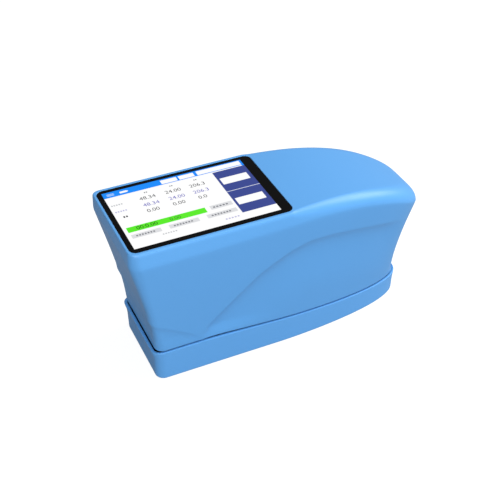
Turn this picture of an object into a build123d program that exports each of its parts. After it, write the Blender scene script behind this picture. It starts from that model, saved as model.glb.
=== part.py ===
from build123d import *
import os
from math import cos, radians, sin

# Portable color spectrophotometer: a screen-topped instrument that stands in its calibration base.
# Frame: +X towards the nose, -Y the side with the swept crease, +Z up. The origin is on the
# table under the middle of the whole object. Everything is in millimetres.

# Driving dimensions of the instrument
length = 163.6
width = 60.4
height = 85.5
wall = 2.2
left_end = -length / 2
belt_half = width / 2
belt_height = 77.5
taper_start = -3.0
end_corner = 5.4
top_round = 2.8

# Driving dimensions of the calibration base
table = 0.0
base_bottom = 0.5
base_floor = 4.0
base_half = 23.7
base_left = -70.4
base_tip = 74.7
base_corner = 4.5
base_draft = 0.053
base_wall = 1.6
fit_gap = 0.45

# The parting line between housing and base: level, then falling towards the nose
seam_high = 17.8
seam_low = 12.0
seam_bend = -42.0
seam_end = 72.0
seam_gap = 0.5
seam_half = 23.9

# Glass and screen
glass_left = -79.9
glass_right = 1.6
glass_half = 26.5
glass_corner = 3.5
glass_thick = 1.1
gasket_thick = 0.3
panel_left = -78.4
panel_right = -1.4
panel_half = 24.7
panel_thick = 2.4

# Measuring head
sphere_x = 30.0
sphere_z = 24.2
sphere_radius = 15.0
sphere_outer = 16.8
aperture_radius = 4.0
view_tilt = 8.0

# Battery and boards
battery_left = -58.5
cell_radius = 9.2
cell_length = 65.0
board_z = 74.0
board_thick = 1.6
board_left = -74.0
board_right = -2.0
board_half = 27.0

# Bosses and the holes of the small self-tapping screws and the longer case screws
boss_radius = 2.4
pilot_radius = 0.9
clear_radius = 1.2
case_boss_radius = 3.2
case_pilot_radius = 1.3
case_clear_radius = 1.6
web_thick = 1.6

# Keys on the far wall
key_height = 52.0
measure_key_x = -12.0
power_key_x = -36.0
port_x = -56.0
measure_key_size = (22.0, 9.0)
power_key_radius = 4.0
key_gap = 0.2
port_size = (8.94, 3.26)
switch_top = 5.3
key_proud = 0.9
flange_gap = 0.06
flange_thick = 1.0

# How a cylinder or box meets the point that it is placed by: on it, or hanging below it
STANDING = (Align.CENTER, Align.CENTER, Align.MIN)
HANGING = (Align.CENTER, Align.CENTER, Align.MAX)

os.makedirs("parts", exist_ok=True)


def write_part(part, name):
    """Label a finished piece and write it under its own name."""
    part.label = name
    export_step(part, f"parts/{name}.step")


def prow_face(left, tip, half, corner, bluntness):
    """Plan outline: flat left end, two round corners, straight sides and a blunt prow.

    The prow's half width is half * (1 - s ** 1.6) ** (1 / bluntness), s running from 0 to 1.
    """
    shares = (0.3, 0.58, 0.8, 0.93, 0.985)
    reach = tip - taper_start
    prow = [(taper_start + reach * s, half * (1 - s**1.6) ** (1 / bluntness)) for s in shares]
    with BuildSketch() as outline:
        with BuildLine():
            Line((left, 0), (left, half - corner))
            CenterArc((left + corner, half - corner), corner, 90, 90)
            Line((left + corner, half), (taper_start, half))
            Spline((taper_start, half), *prow, (tip, 0), tangents=[(1, 0), (0, -1)])
            mirror(about=Plane.XZ)
        make_face()
    return outline.sketch


# How far the walls lean inwards at a height, and how the two ends draw in towards the seam
nose_belt = 58.5
nose_at_belt = 79.9
nose_above = 0.17
left_lean = 11.5
left_hollow = 1.6
nose_lean = 7.2
nose_hollow = 4.4


def wall_half(z):
    """Half width of the leaning side wall at a height."""
    return seam_half + (belt_half - seam_half) * (z - seam_high) / (belt_height - seam_high)


def wall_left(z):
    """Left end at a height: a straight lean with a shallow hollow."""
    down = (belt_height - z) / (belt_height - seam_high)
    return left_end + left_lean * down + left_hollow * 4 * down * (1 - down)


def wall_tip(z):
    """Nose at a height: nearly upright above its widest level, hollow and drawn in below."""
    if z > nose_belt:
        return nose_at_belt + nose_above * (z - nose_belt)
    down = (nose_belt - z) / (nose_belt - seam_low)
    return nose_at_belt - nose_lean * down - nose_hollow * 4 * down * (1 - down)


def wall_bluntness(z):
    """The prow is blunter at the top than at the seam."""
    return 3.2 + 1.1 * min(max((z - seam_low) / (belt_height - seam_low), 0), 1)


def wall_form(inset, heights):
    """Solid inside the leaning walls, between the lowest and the highest of some heights."""
    with BuildPart() as form:
        for z in heights:
            with BuildSketch(Plane.XY.offset(z)):
                ends = (wall_left(z) + inset, wall_tip(z) - inset)
                add(prow_face(*ends, wall_half(z) - inset, end_corner - inset, wall_bluntness(z)))
        loft()
    return form.part


def top_level(x):
    """Height of the top along the middle: flat over the screen, then falling to the nose."""
    return height - 3.4 * (max(x, 0) / 40) ** 2.5


def crown(x):
    """How much lower the top is at its side edges than along the middle."""
    return 4.0 * (max(x, 0) / 80) ** 1.5


wall_heights = (8, 26, 42, nose_belt, belt_height)


def housing_form(inset, rounding):
    """The instrument's outer form, or with an inset the hollow inside its wall."""
    reach = 95
    with BuildPart() as form:
        add(wall_form(inset, wall_heights))
        for z, draw_in in ((belt_height, 0), (height + 2, 0.3)):
            with BuildSketch(Plane.XY.offset(z)):
                side = inset + draw_in
                ends = (left_end + side, wall_tip(belt_height) - inset)
                bluntness = wall_bluntness(belt_height)
                add(prow_face(*ends, belt_half - side, end_corner - inset, bluntness))
        loft(ruled=True)
    with BuildPart() as cap:
        for y, share in ((-32, 1), (0, 0), (32, 1)):
            with BuildSketch(Plane.XZ.offset(-y)):
                with BuildLine():
                    stations = (0, 25, 45, 62, 77, reach)
                    levels = [(x, top_level(x) - share * crown(x) - inset) for x in stations]
                    Line((-reach, height - inset), levels[0])
                    Spline(*levels, tangents=[(1, 0), (1, -0.8 - 0.08 * share)])
                    Polyline(levels[-1], (reach, 0), (-reach, 0), (-reach, height - inset))
                make_face()
        loft()
    with BuildPart() as housing:
        add(form.part)
        add(cap.part, mode=Mode.INTERSECT)
        if rounding:
            tops = [face for face in housing.faces() if face.normal_at().Z > 0.3]
            rims = [edge for face in tops for edge in face.edges()]
            fillet([edge for edge in rims if rims.count(edge) == 1], rounding)
    return housing.part


def below_seam(rise):
    """Solid that fills everything below the parting line, raised by some amount."""
    far = 100
    slope = (seam_high - seam_low) / (seam_end - seam_bend)
    low = seam_high - slope * (far - seam_bend)
    with BuildPart() as block:
        with BuildSketch(Plane.XZ):
            with BuildLine():
                corners = ((-far, seam_high + rise), (seam_bend, seam_high + rise), (far, low + rise))
                FilletPolyline(*corners, radius=400)
                Polyline(corners[2], (far, -10), (-far, -10), corners[0])
            make_face()
        extrude(amount=45, both=True)
    return block.part


def base_form(inset, low, high):
    """Solid inside the calibration base's outer wall, between two heights."""
    with BuildPart() as form:
        for z in (low, high):
            grow = base_draft * (z - base_bottom) - inset
            with BuildSketch(Plane.XY.offset(z)):
                corner = base_corner + grow
                add(prow_face(base_left - grow, base_tip + grow, base_half + grow, corner, 3.2))
        loft(ruled=True)
    return form.part


def screw(head_radius, head_height, shank_radius, shank_length):
    """A pan-head screw whose head is above z = 0 and whose shank hangs below."""
    with BuildPart() as piece:
        Cylinder(head_radius, head_height, align=STANDING)
        chamfer(piece.edges().sort_by(Axis.Z)[-1], head_height * 0.3)
        Cylinder(shank_radius, shank_length, align=HANGING)
        with BuildSketch(Plane.XY.offset(head_height)):
            Rectangle(head_radius * 1.1, head_radius * 0.3)
            Rectangle(head_radius * 0.3, head_radius * 1.1)
        extrude(amount=-head_height * 0.5, mode=Mode.SUBTRACT)
    return piece.part


# Relief of the walls: the sweep that rises from the parting line and runs on towards the nose,
# deepest at its start, and the small crease round the left end that falls to meet it
sweep_line = ((-46.3, 12), (-44.5, 27), (-16.6, 53), (9.8, 64.6), (38, 61.5), (66, 55.5))
sweep_turn = 0.27
sweep_shift = 0.33
sweep_end_depth = 0.15
with BuildPart() as sweep_relief:
    with BuildSketch(Plane.XZ):
        with BuildLine():
            sweep = Spline(*sweep_line, tangents=[(-0.1, 1), (1, -0.25)])
            Polyline(sweep @ 1, (70, 40), (70, 0), (sweep_line[0][0], 0), sweep @ 0)
        make_face()
    extrude(amount=45)
    with Locations(Location((0, sweep_shift, 0), (0, 0, -sweep_turn))):
        add(wall_form(sweep_end_depth, wall_heights), mode=Mode.SUBTRACT)

crease_line = ((-61, 31.8), (-53, 24.5), (-48.5, 16))
crease_height = 37.0
crease_depth = 0.35
with BuildPart() as crease_relief:
    with BuildSketch(Plane.XZ):
        with BuildLine():
            crease = Spline((-74, crease_height), *crease_line, tangents=[(1, 0), (0.3, -1)])
            Polyline(crease @ 1, (-48.5, 0), (-90, 0), (-90, crease_height), crease @ 0)
        make_face()
    extrude(amount=45, both=True)
    add(wall_form(crease_depth, wall_heights), mode=Mode.SUBTRACT)

outer_form = housing_form(0, top_round)
inner_form = housing_form(wall, 0)
boss_limit = housing_form(wall / 2, 0)

# Where the pieces are screwed together
case_points = ((-63.5, -15), (-63.5, 15), (58, -8), (58, 8))
retainer_points = ((9.4, -16), (9.4, 16))
sphere_points = [(sphere_x + dx, dy) for dx in (-14, 14) for dy in (-14, 14)]
board_points = [(x, y) for x in (-70, -6) for y in (-24.5, 24.5)]
foot_points = ((-57, -13), (-57, 13), (52, -7), (52, 7))
case_joint_z = 20.0
case_boss_height = 22.0
board_top = board_z + board_thick
board_boss_height = 5.6

# The far wall's own plane: x along the wall, y down it, z out through it
lean = (belt_half - seam_half) / (belt_height - seam_high)
lean_scale = (1 + lean**2) ** 0.5
wall_out = (0, 1 / lean_scale, -lean / lean_scale)
wall_plane = Plane(origin=(0, wall_half(key_height), key_height), x_dir=(1, 0, 0), z_dir=wall_out)
wall_depth = wall / lean_scale
side_board_depth = 8.9
side_board_thick = 1.2
side_board_left = -66.0
side_board_right = 0.0
side_screw_points = ((-45.5, 0), (-27.5, 0))

# Bosses and webs inside the upper housing, rooted halfway into its wall
ledge = height - glass_thick - gasket_thick
with BuildPart() as housing_bosses:
    # Main board bosses, each webbed to the side wall
    for x, y in board_points:
        out = 1 if y > 0 else -1
        with BuildSketch(Plane.XY.offset(board_top)):
            with Locations((x, y)):
                Circle(boss_radius)
            with Locations((x, out * board_half)):
                Rectangle(web_thick, 5)
        extrude(amount=board_boss_height)
    # Case bosses at the four lower corners, webbed to the side walls and the ends
    for x, y in case_points:
        out = 1 if y > 0 else -1
        towards = -1 if x < 0 else 1
        with BuildSketch(Plane.XY.offset(case_joint_z)):
            with Locations((x, y)):
                Circle(case_boss_radius)
        extrude(amount=case_boss_height)
        with BuildSketch(Plane.XY.offset(case_joint_z + 3)):
            with Locations((x, y + out * 5)):
                Rectangle(web_thick, 10)
            with Locations((x + towards * 6, y)):
                Rectangle(12, web_thick)
        extrude(amount=case_boss_height - 3)
    # Bosses for the side board, square to the far wall
    with BuildSketch(wall_plane.offset(-side_board_depth)):
        with Locations(*side_screw_points):
            Circle(boss_radius)
    extrude(amount=side_board_depth - 0.5)
    add(boss_limit, mode=Mode.INTERSECT)

# Upper housing: one moulded shell with the screen opening, the key openings and its screw bosses
with BuildPart() as upper_housing:
    add(outer_form)
    add(inner_form, mode=Mode.SUBTRACT)
    # The lower edge follows the parting line
    add(below_seam(seam_gap), mode=Mode.SUBTRACT)
    add(sweep_relief.part, mode=Mode.SUBTRACT)
    add(crease_relief.part, mode=Mode.SUBTRACT)
    # Recess and opening for the glass and the display panel
    with BuildSketch(Plane.XY.offset(ledge)):
        with Locations(((glass_left + glass_right) / 2, 0)):
            RectangleRounded(glass_right - glass_left + 0.3, 2 * glass_half + 0.3, glass_corner + 0.15)
    extrude(amount=5, mode=Mode.SUBTRACT)
    with BuildSketch(Plane.XY.offset(ledge - 5)):
        with Locations(((panel_left + panel_right) / 2, 0)):
            Rectangle(panel_right - panel_left + 0.8, 2 * panel_half + 0.8)
    extrude(amount=10, mode=Mode.SUBTRACT)
    add(housing_bosses.part)
    # Key slots, the charging port's opening and the pilot holes of the screws
    with BuildSketch(wall_plane.offset(-wall_depth - 0.1)):
        with Locations((measure_key_x, 0)):
            SlotOverall(*[size + 2 * key_gap for size in measure_key_size])
        with Locations((power_key_x, 0)):
            Circle(power_key_radius + key_gap)
        with Locations((port_x, 0)):
            SlotOverall(*[size + 0.65 for size in port_size])
    extrude(amount=5, mode=Mode.SUBTRACT)
    with BuildSketch(wall_plane.offset(-0.8)):
        with Locations((port_x, 0)):
            SlotOverall(*[size + 3.45 for size in port_size])
    extrude(amount=3, mode=Mode.SUBTRACT)
    with Locations(*[(x, y, board_top) for x, y in board_points]):
        Cylinder(pilot_radius, 5, align=STANDING, mode=Mode.SUBTRACT)
    with Locations(*[(x, y, case_joint_z) for x, y in case_points]):
        Cylinder(case_pilot_radius, 12, align=STANDING, mode=Mode.SUBTRACT)
    with BuildSketch(wall_plane.offset(-side_board_depth)):
        with Locations(*side_screw_points):
            Circle(0.8)
    extrude(amount=6, mode=Mode.SUBTRACT)
write_part(upper_housing.part, "upper_housing")

# Bottom cover: floor, skirt that nests in the base, tongue that centres the housing, and columns
cover_bottom = 5.0
cover_floor = 7.0
retainer_z = 28.0
cell_z = cover_floor + 1.5 + cell_radius
tongue_gap = 0.15
tongue_wall = 1.6
column_radius = 2.6
flange_half = 2.5
foot_radius = 3.9
with BuildPart() as bottom_cover:
    add(base_form(base_wall + fit_gap, cover_bottom, 20))
    add(below_seam(seam_gap), mode=Mode.INTERSECT)
    chamfer(bottom_cover.faces().sort_by(Axis.Z)[0].edges(), 0.6)
    add(wall_form(wall + tongue_gap, (8, 14, 19, 24)) & below_seam(4.5))
    add(wall_form(wall + tongue_gap + tongue_wall, (cover_floor, 12, 18, 25)), mode=Mode.SUBTRACT)
    with BuildSketch(Plane.XY.offset(cover_floor)):
        with Locations(*case_points):
            Circle(case_boss_radius + 0.7)
    extrude(amount=case_joint_z - cover_floor)
    with BuildSketch(Plane.XY.offset(cover_floor)):
        with Locations(*sphere_points):
            Circle(column_radius)
    extrude(amount=sphere_z - flange_half - cover_floor)
    with BuildSketch(Plane.XY.offset(cover_floor)):
        with Locations(*retainer_points):
            Circle(column_radius)
    extrude(amount=retainer_z - cover_floor)
    # Saddle ribs under the two cells
    for x in (-50, -27, -4):
        with BuildSketch(Plane.YZ.offset(x)):
            with Locations((0, cover_floor)):
                Rectangle(36, 4.5, align=(Align.CENTER, Align.MIN))
            with Locations((0, cell_z)):
                SlotOverall(4 * cell_radius + 0.1, 2 * cell_radius + 0.1, mode=Mode.SUBTRACT)
        extrude(amount=1.5, both=True)
    # Aperture hole, foot pockets and screw holes
    with Locations((sphere_x, 0, cover_bottom)):
        Cylinder(10.0, 10, mode=Mode.SUBTRACT)
    with BuildSketch(Plane.XY.offset(cover_bottom)):
        with Locations(*foot_points):
            Circle(foot_radius + 0.1)
    extrude(amount=0.8, mode=Mode.SUBTRACT)
    with Locations(*[(x, y, case_joint_z) for x, y in case_points]):
        Cylinder(case_clear_radius, 40, mode=Mode.SUBTRACT)
    with Locations(*[(x, y, cover_bottom) for x, y in case_points]):
        Cylinder(3.0, 4, align=STANDING, mode=Mode.SUBTRACT)
    with Locations(*[(x, y, sphere_z - flange_half) for x, y in sphere_points]):
        Cylinder(pilot_radius, 8, align=HANGING, mode=Mode.SUBTRACT)
    with Locations(*[(x, y, retainer_z) for x, y in retainer_points]):
        Cylinder(pilot_radius, 8, align=HANGING, mode=Mode.SUBTRACT)
write_part(bottom_cover.part, "bottom_cover")

# Four soft pads that the instrument stands on when it is out of its base
with BuildPart() as body_feet:
    with Locations(*[(x, y, base_floor) for x, y in foot_points]):
        Cylinder(foot_radius, cover_bottom + 0.8 - base_floor, align=STANDING)
    chamfer(body_feet.edges().group_by(Axis.Z)[0], 0.3)
write_part(body_feet.part, "body_feet")

# Case screws, heads sunk in the bottom cover
with BuildPart() as case_screws:
    with Locations(*[Location((x, y, cover_bottom + 4), (180, 0, 0)) for x, y in case_points]):
        add(screw(2.7, 2.0, 1.25, 20))
write_part(case_screws.part, "case_screws")

# Cover glass with its rounded corners
with BuildPart() as touch_glass:
    with BuildSketch(Plane.XY.offset(height - glass_thick)):
        with Locations(((glass_left + glass_right) / 2, 0)):
            RectangleRounded(glass_right - glass_left, 2 * glass_half, glass_corner)
    extrude(amount=glass_thick)
    chamfer(touch_glass.faces().sort_by(Axis.Z)[-1].edges(), 0.15)
write_part(touch_glass.part, "touch_glass")

# Adhesive gasket under the edge of the glass
with BuildPart() as display_gasket:
    with BuildSketch(Plane.XY.offset(ledge)):
        with Locations(((glass_left + glass_right) / 2, 0)):
            RectangleRounded(glass_right - glass_left, 2 * glass_half, glass_corner)
        with Locations(((panel_left + panel_right) / 2, 0)):
            Rectangle(panel_right - panel_left + 0.8, 2 * panel_half + 0.8, mode=Mode.SUBTRACT)
    extrude(amount=gasket_thick)
write_part(display_gasket.part, "display_gasket")

# Display panel, bonded to the back of the glass
panel_bottom = height - glass_thick - panel_thick
with BuildPart() as display_panel:
    with BuildSketch(Plane.XY.offset(panel_bottom)):
        with Locations(((panel_left + panel_right) / 2, 0)):
            RectangleRounded(panel_right - panel_left, 2 * panel_half, 0.8)
    extrude(amount=panel_thick)
write_part(display_panel.part, "display_panel")

# Main board, with holes for its four screws
with BuildPart() as main_board:
    with BuildSketch(Plane.XY.offset(board_z)):
        with Locations(((board_left + board_right) / 2, 0)):
            RectangleRounded(board_right - board_left, 2 * board_half, 2.5)
        with Locations(*board_points):
            Circle(clear_radius, mode=Mode.SUBTRACT)
    extrude(amount=board_thick)
write_part(main_board.part, "main_board")

# Chips, shield can and ribbon connectors on the main board
display_plug = (-16, -12, -17, 5, 2.0)
sensor_plug = (-10, -6, 8, 20, 2.0)
chips = ((-52, -40, -8, 4, 1.4), (-36, -24, -6, 6, 1.4), (-66, -56, 6, 16, 2.2), (-50, -44, 12, 18, 1.0))
with BuildPart() as board_components:
    for x0, x1, y0, y1, tall in (display_plug, sensor_plug, *chips):
        with Locations((x0, y0, board_top)):
            Box(x1 - x0, y1 - y0, tall, align=(Align.MIN, Align.MIN, Align.MIN))
write_part(board_components.part, "board_components")

# Board screws, driven up into the housing's bosses
with BuildPart() as board_screws:
    with Locations(*[Location((x, y, board_z), (180, 0, 0)) for x, y in board_points]):
        add(screw(2.0, 1.4, 0.85, 5.5))
write_part(board_screws.part, "board_screws")


def ribbon(points, bend, thick=0.3):
    """Flat ribbon cable seen from the side: a bent strip of even thickness."""
    with BuildSketch() as strip:
        with BuildLine() as route:
            FilletPolyline(*points, radius=bend)
        trace(route.line, thick)
    return strip.sketch


# Display ribbon: out from under the panel, round and back to its plug on the main board
ribbon_drop = panel_bottom - 0.15
ribbon_in = board_top + 1.4
with BuildPart() as display_ribbon:
    turn = (ribbon_drop - ribbon_in) / 2 - 0.01
    route = ((-9, ribbon_drop), (0.8, ribbon_drop), (0.8, ribbon_in), (display_plug[1], ribbon_in))
    with BuildSketch(Plane.XZ):
        add(ribbon(route, turn))
    extrude(amount=8, both=True)
display_ribbon.part = Pos(0, -6, 0) * display_ribbon.part
write_part(display_ribbon.part, "display_ribbon")

# Two round cells side by side in one shrink sleeve
with BuildPart() as battery_pack:
    with BuildSketch(Plane.YZ.offset(battery_left)):
        with Locations((0, cell_z)):
            SlotOverall(4 * cell_radius, 2 * cell_radius)
    extrude(amount=cell_length)
    chamfer(battery_pack.edges().filter_by(Plane.YZ), 0.8)
write_part(battery_pack.part, "battery_pack")

# Retainer that holds the cells down: an open plate with three pads, held by two screws
retainer_thick = 1.6
with BuildPart() as battery_retainer:
    with BuildSketch(Plane.XY.offset(retainer_z)):
        with Locations((-24, 0)):
            RectangleRounded(72, 30, 3)
        with Locations((retainer_points[0][0], 0)):
            RectangleRounded(5.2, 37, 2.5)
        with Locations((-42, 0), (-14, 0)):
            RectangleRounded(18, 18, 2, mode=Mode.SUBTRACT)
        with Locations(*retainer_points):
            Circle(clear_radius, mode=Mode.SUBTRACT)
    extrude(amount=retainer_thick)
    # Pads that press on the cells
    pad_low = cell_z + cell_radius
    for x in (-56, -28, 0):
        with BuildSketch(Plane.XY.offset(pad_low)):
            with Locations((x, 0)):
                Rectangle(4, 22)
        extrude(amount=retainer_z - pad_low)
write_part(battery_retainer.part, "battery_retainer")

with BuildPart() as retainer_screws:
    with Locations(*[(x, y, retainer_z + retainer_thick) for x, y in retainer_points]):
        add(screw(2.0, 1.4, 0.85, 8))
write_part(retainer_screws.part, "retainer_screws")

# Aperture ring: the measuring port, flared inside
with BuildPart() as aperture_ring:
    with BuildSketch(Plane.XZ):
        with BuildLine():
            flare = 6.5
            lip = base_floor + 0.15
            Polyline(
                (aperture_radius, lip),
                (11, lip),
                (12, cover_bottom - 0.5),
                (12, cover_bottom),
                (9.9, cover_bottom),
                (9.9, cover_floor),
                (flare, cover_floor),
                (aperture_radius, cover_bottom),
                close=True,
            )
        make_face()
    revolve(axis=Axis.Z)
aperture_ring.part = Pos(sphere_x, 0, 0) * aperture_ring.part
write_part(aperture_ring.part, "aperture_ring")


def sphere_flange(low):
    """Flat joint plate of one half of the sphere, with its four screw holes."""
    with BuildPart() as plate:
        with BuildSketch(Plane.XY.offset(low)):
            RectangleRounded(34, 33, 3.5)
            with Locations(*[(x - sphere_x, y) for x, y in sphere_points]):
                Circle(clear_radius, mode=Mode.SUBTRACT)
        extrude(amount=flange_half)
    return plate.part


# Lower half of the integrating sphere, standing on the cover's floor over the aperture
with BuildPart() as sphere_lower:
    with BuildSketch(Plane.XZ):
        with BuildLine():
            Polyline(
                (0, cover_floor),
                (13, cover_floor),
                (sphere_outer, 14),
                (sphere_outer, sphere_z),
                (0, sphere_z),
                close=True,
            )
        make_face()
    revolve(axis=Axis.Z)
    add(sphere_flange(sphere_z - flange_half))
    with Locations((0, 0, sphere_z)):
        Sphere(sphere_radius, mode=Mode.SUBTRACT)
    with Locations((0, 0, cover_floor)):
        Cylinder(6.5, 12, mode=Mode.SUBTRACT)
sphere_lower.part = Pos(sphere_x, 0, 0) * sphere_lower.part
write_part(sphere_lower.part, "sphere_lower")

# Upper half, with the ring of lamp ports and the tilted viewing port
crown_z = 43.0
lamp_ring = 9.5
tube_radius = 4.75
tube_start = 16.75
view_plane = Plane(
    origin=(0, 0, sphere_z),
    x_dir=(cos(radians(view_tilt)), 0, -sin(radians(view_tilt))),
    z_dir=(sin(radians(view_tilt)), 0, cos(radians(view_tilt))),
)
with BuildPart() as sphere_upper:
    with BuildSketch(Plane.XZ):
        with BuildLine():
            Polyline(
                (0, sphere_z),
                (sphere_outer, sphere_z),
                (sphere_outer, 34),
                (13.5, crown_z),
                (0, crown_z),
                close=True,
            )
        make_face()
    revolve(axis=Axis.Z)
    add(sphere_flange(sphere_z))
    with Locations((0, 0, sphere_z)):
        Sphere(sphere_radius, mode=Mode.SUBTRACT)
    with BuildSketch(Plane.XY.offset(crown_z)):
        Circle(11.6)
        Circle(7.4, mode=Mode.SUBTRACT)
    extrude(amount=-1.0, mode=Mode.SUBTRACT)
    with BuildSketch(Plane.XY.offset(sphere_z + 8)):
        with PolarLocations(lamp_ring, 8):
            Circle(1.3)
    extrude(amount=20, mode=Mode.SUBTRACT)
    with BuildSketch(view_plane.offset(tube_start)):
        Circle(tube_radius + 0.05)
    extrude(amount=8, mode=Mode.SUBTRACT)
    with BuildSketch(view_plane.offset(10)):
        Circle(3.2)
    extrude(amount=12, mode=Mode.SUBTRACT)
sphere_upper.part = Pos(sphere_x, 0, 0) * sphere_upper.part
write_part(sphere_upper.part, "sphere_upper")

with BuildPart() as sphere_screws:
    with Locations(*[(x, y, sphere_z + flange_half) for x, y in sphere_points]):
        add(screw(1.9, 1.4, 0.85, 9))
write_part(sphere_screws.part, "sphere_screws")

# Ring-shaped lamp board on the sphere's crown, and its eight lamps
with BuildPart() as lamp_board:
    with BuildSketch(Plane.XY.offset(crown_z)):
        with Locations((sphere_x, 0)):
            Circle(13.5)
        with Locations((sphere_x + 2.7, 0)):
            Circle(5.2, mode=Mode.SUBTRACT)
    extrude(amount=1.2)
write_part(lamp_board.part, "lamp_board")

with BuildPart() as lamps:
    with Locations((sphere_x, 0, crown_z)):
        with PolarLocations(lamp_ring, 8):
            Box(2.4, 2.4, 0.8, align=HANGING)
write_part(lamps.part, "lamps")

# Lens tube on the viewing axis, with a square flange at its top for the sensor board
tube_end = 36.0
narrow_bore = 3.2
wide_bore = 4.0
lens_step = 4.0
sensor_screw_points = ((0, -7.5), (0, 7.5))
with BuildPart() as lens_tube:
    with BuildSketch(view_plane.offset(tube_start)):
        Circle(tube_radius)
        Circle(narrow_bore, mode=Mode.SUBTRACT)
    extrude(amount=lens_step)
    with BuildSketch(view_plane.offset(tube_start + lens_step)):
        Circle(tube_radius)
        Circle(wide_bore, mode=Mode.SUBTRACT)
    extrude(amount=tube_end - tube_start - lens_step)
    with BuildSketch(view_plane.offset(tube_end - 2)):
        RectangleRounded(12, 21, 2)
        Circle(wide_bore, mode=Mode.SUBTRACT)
        with Locations(*sensor_screw_points):
            Circle(pilot_radius, mode=Mode.SUBTRACT)
    extrude(amount=2)
lens_tube.part = Pos(sphere_x, 0, 0) * lens_tube.part
write_part(lens_tube.part, "lens_tube")

# Plano-convex lens seated on the step in the tube's bore
lens_thick = 2.6
lens_curve = 5.7
with BuildPart() as collecting_lens:
    Cylinder(wide_bore - 0.05, lens_thick, align=STANDING)
    with Locations((0, 0, lens_thick - lens_curve)):
        Sphere(lens_curve, mode=Mode.INTERSECT)
lens_seat = Pos(sphere_x, 0, 0) * view_plane.location * Pos(0, 0, tube_start + lens_step)
collecting_lens.part = lens_seat * collecting_lens.part
write_part(collecting_lens.part, "collecting_lens")

# Sensor board on the tube's flange, the chip on its underside in the bore, and its two screws
sensor_board_thick = 1.2
with BuildPart() as sensor_board:
    with BuildSketch(view_plane.offset(tube_end)):
        RectangleRounded(22, 22, 1.5)
        with Locations(*sensor_screw_points):
            Circle(clear_radius, mode=Mode.SUBTRACT)
    extrude(amount=sensor_board_thick)
sensor_board.part = Pos(sphere_x, 0, 0) * sensor_board.part
write_part(sensor_board.part, "sensor_board")

with BuildPart() as sensor_chip:
    with BuildSketch(view_plane.offset(tube_end)):
        Rectangle(5, 4)
    extrude(amount=-1.1)
sensor_chip.part = Pos(sphere_x, 0, 0) * sensor_chip.part
write_part(sensor_chip.part, "sensor_chip")

sensor_seat = Pos(sphere_x, 0, 0) * view_plane.location
with BuildPart() as sensor_screws:
    board_face = tube_end + sensor_board_thick
    with Locations(*[sensor_seat * Pos(x, y, board_face) for x, y in sensor_screw_points]):
        add(screw(1.9, 1.2, 0.85, 3.1))
write_part(sensor_screws.part, "sensor_screws")

# Sensor ribbon: from the top of the sensor board to its plug on the main board
along = (cos(radians(view_tilt)), -sin(radians(view_tilt)))
above = tube_end + sensor_board_thick + 0.16
ribbon_foot = (sphere_x + above * sin(radians(view_tilt)), sphere_z + above * cos(radians(view_tilt)))
ribbon_start = (ribbon_foot[0] - 5 * along[0], ribbon_foot[1] - 5 * along[1])
ribbon_turn = (ribbon_foot[0] - 20 * along[0], ribbon_foot[1] - 20 * along[1])
with BuildPart() as sensor_ribbon:
    with BuildSketch(Plane.XZ):
        add(ribbon((ribbon_start, ribbon_turn, (6, ribbon_in), (sensor_plug[1], ribbon_in)), 3))
    extrude(amount=4, both=True)
sensor_ribbon.part = Pos(0, 14, 0) * sensor_ribbon.part
write_part(sensor_ribbon.part, "sensor_ribbon")

# Side board behind the far wall, carrying the key switches and the charging port
with BuildPart() as side_board:
    with BuildSketch(wall_plane.offset(-side_board_depth)):
        with Locations(((side_board_left + side_board_right) / 2, 0)):
            RectangleRounded(side_board_right - side_board_left, 16, 1.5)
        with Locations(*side_screw_points):
            Circle(clear_radius, mode=Mode.SUBTRACT)
    extrude(amount=-side_board_thick)
write_part(side_board.part, "side_board")

with BuildPart() as side_board_screws:
    seat = wall_plane.location * Pos(0, 0, -side_board_depth - side_board_thick)
    with Locations(*[seat * Pos(x, y, 0) * Rot(180, 0, 0) for x, y in side_screw_points]):
        add(screw(1.9, 1.2, 0.75, 5))
write_part(side_board_screws.part, "side_board_screws")

# Key switches: square bodies with a well for the key's stem
with BuildPart() as key_switches:
    with BuildSketch(wall_plane.offset(-side_board_depth)):
        with Locations((measure_key_x, 0), (power_key_x, 0)):
            RectangleRounded(6, 6, 0.4)
    extrude(amount=side_board_depth - switch_top)
    with BuildSketch(wall_plane.offset(-switch_top)):
        with Locations((measure_key_x, 0), (power_key_x, 0)):
            Circle(1.8)
    extrude(amount=-1.6, mode=Mode.SUBTRACT)
write_part(key_switches.part, "key_switches")

# Charging port: an upright metal shell with its tongue
with BuildPart() as charging_port:
    with BuildSketch(wall_plane.offset(-side_board_depth)):
        with Locations((port_x, 0)):
            SlotOverall(*port_size)
    extrude(amount=side_board_depth - 0.9)
    with BuildSketch(wall_plane.offset(-0.9)):
        with Locations((port_x, 0)):
            SlotOverall(port_size[0] - 0.6, port_size[1] - 0.6)
            Rectangle(6.6, 0.7, mode=Mode.SUBTRACT)
    extrude(amount=-6, mode=Mode.SUBTRACT)
write_part(charging_port.part, "charging_port")


def key_cap(x, outline, flange):
    """A key: cap through the wall, flange behind it, and a stem into its switch."""
    flange_depth = wall_depth + flange_gap + flange_thick
    with BuildPart() as key:
        with BuildSketch(wall_plane.offset(-flange_depth)):
            add(outline)
        extrude(amount=flange_depth + key_proud)
        fillet(key.faces().sort_by(Axis(wall_plane.origin, wall_plane.z_dir))[-1].edges(), 0.5)
        with BuildSketch(wall_plane.offset(-flange_depth)):
            add(flange)
        extrude(amount=flange_thick)
        with BuildSketch(wall_plane.offset(-flange_depth)):
            with Locations((x, 0)):
                Circle(1.5)
        extrude(amount=flange_depth - switch_top - 0.5)
    return key.part


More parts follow.
